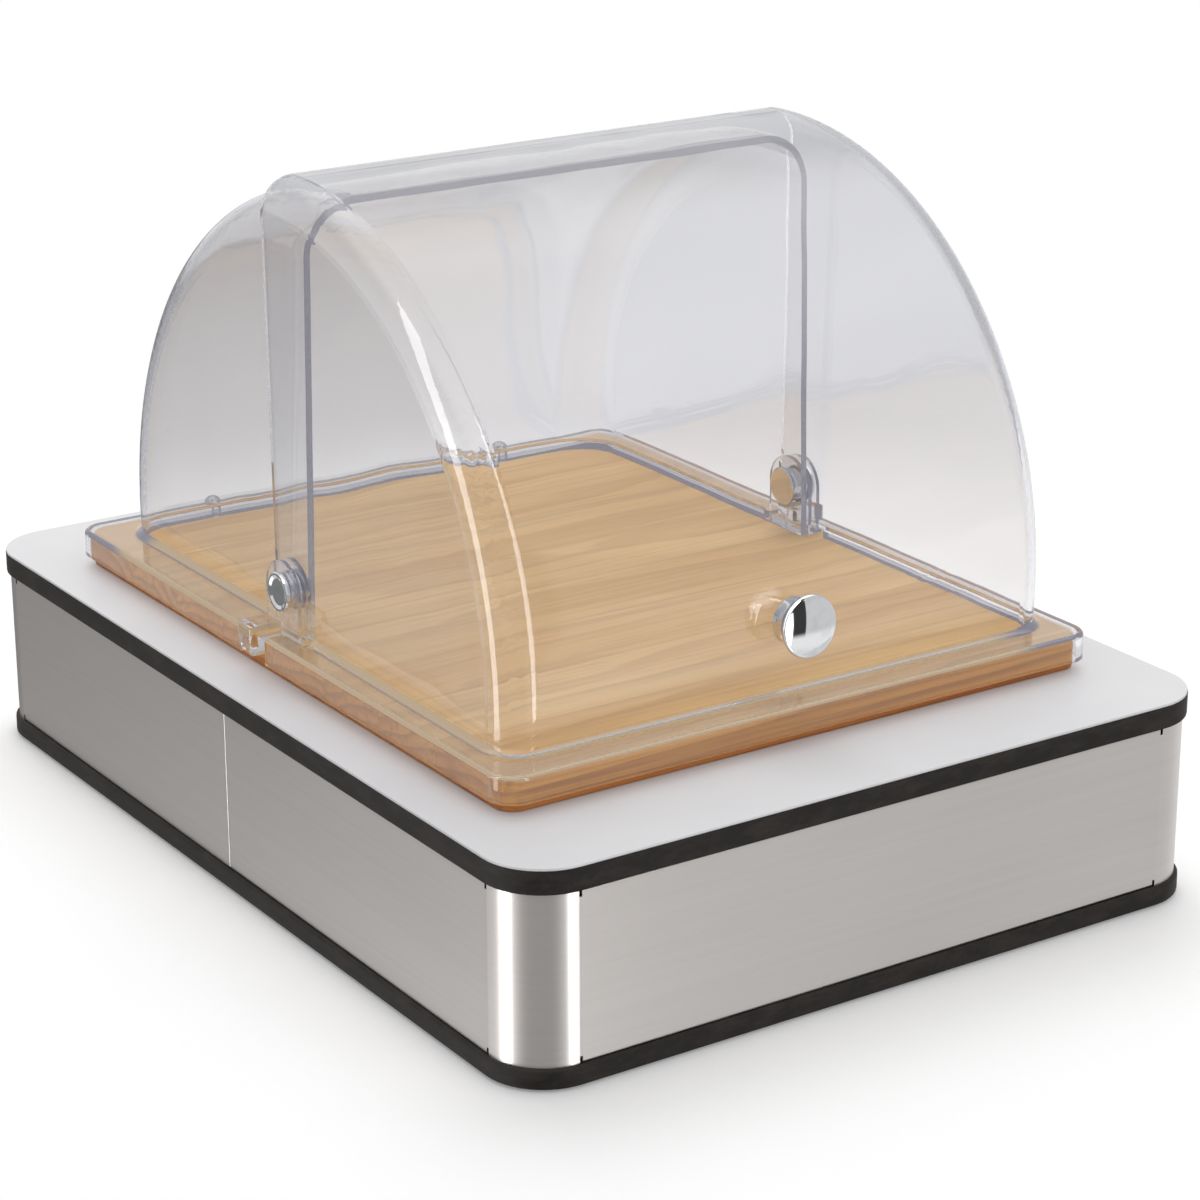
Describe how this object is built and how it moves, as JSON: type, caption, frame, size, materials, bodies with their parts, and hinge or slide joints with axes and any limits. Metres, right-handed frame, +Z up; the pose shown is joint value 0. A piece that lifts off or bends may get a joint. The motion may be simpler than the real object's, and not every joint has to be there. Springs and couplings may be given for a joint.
{
  "type": "buffet display case",
  "caption": "Low hollow steel-sided base with a loose wooden serving board under a clear roll-top hood whose front half turns up and back over the rear half.",
  "frame": {"origin": "centre of the footprint at the underside of the foot pads", "axes": "+X to the right along the front, +Y to the back along the depth, +Z up"},
  "size_m": [0.321, 0.44, 0.2832],
  "materials": {
    "black_board": "through-dyed fibreboard, satin machined edge",
    "white_laminate": "fine matt laminate",
    "brushed_band": "brushed along the length",
    "zinc_fastener": "bright zinc",
    "rubber_pad": "matt",
    "board_wood": "oiled hardwood, grain across the width",
    "clear_hood": "clear, polished",
    "clear_fitting": "clear, moulded",
    "chrome": "polished"
  },
  "bodies": {
    "base": {"bottom_panel": "black_board", "top_panel": "black_board", "top_laminate": "white_laminate", "front_band": "brushed_band", "rear_band": "brushed_band", "left_splice_plate": "brushed_band", "right_splice_plate": "brushed_band", "corner_spacer_front_left": "zinc_fastener", "tie_bolt_front_left": "zinc_fastener", "thread_insert_front_left": "zinc_fastener", "corner_spacer_front_right": "zinc_fastener", "tie_bolt_front_right": "zinc_fastener", "thread_insert_front_right": "zinc_fastener", "corner_spacer_rear_left": "zinc_fastener", "tie_bolt_rear_left": "zinc_fastener", "thread_insert_rear_left": "zinc_fastener", "corner_spacer_rear_right": "zinc_fastener", "tie_bolt_rear_right": "zinc_fastener", "thread_insert_rear_right": "zinc_fastener", "flange_screw_front_left": "zinc_fastener", "flange_screw_front_right": "zinc_fastener", "flange_screw_rear_left": "zinc_fastener", "flange_screw_rear_right": "zinc_fastener", "flange_screw_left_front": "zinc_fastener", "flange_screw_left_rear": "zinc_fastener", "flange_screw_right_front": "zinc_fastener", "flange_screw_right_rear": "zinc_fastener", "foot_pad_front_left": "rubber_pad", "foot_pad_front_right": "rubber_pad", "foot_pad_rear_left": "rubber_pad", "foot_pad_rear_right": "rubber_pad"},
    "board": {"serving_board": "board_wood"},
    "lid": {"rear_hood": "clear_hood", "left_hinge_bracket": "clear_fitting", "left_hinge_barrel": "chrome", "left_hinge_screw": "chrome", "left_stop_buffer": "clear_fitting", "right_hinge_bracket": "clear_fitting", "right_hinge_barrel": "chrome", "right_hinge_screw": "chrome", "right_stop_buffer": "clear_fitting"},
    "front_hood": {"front_hood": "clear_hood", "knob": "chrome", "knob_washer": "clear_fitting", "knob_screw": "zinc_fastener"}
  },
  "joints": [
    {"name": "board_lift", "type": "slide", "parent": "base", "child": "board", "axis": [0, 0, 1], "range_m": [0, 0.06]},
    {"name": "lid_lift", "type": "slide", "parent": "board", "child": "lid", "axis": [0, 0, 1], "range_m": [0, 0.12]},
    {"name": "hood_roll", "type": "hinge", "parent": "lid", "child": "front_hood", "pos_m": [0, 0.0059, 0.1187], "axis": [-1, 0, 0], "range_deg": [0, 91.4]}
  ]
}
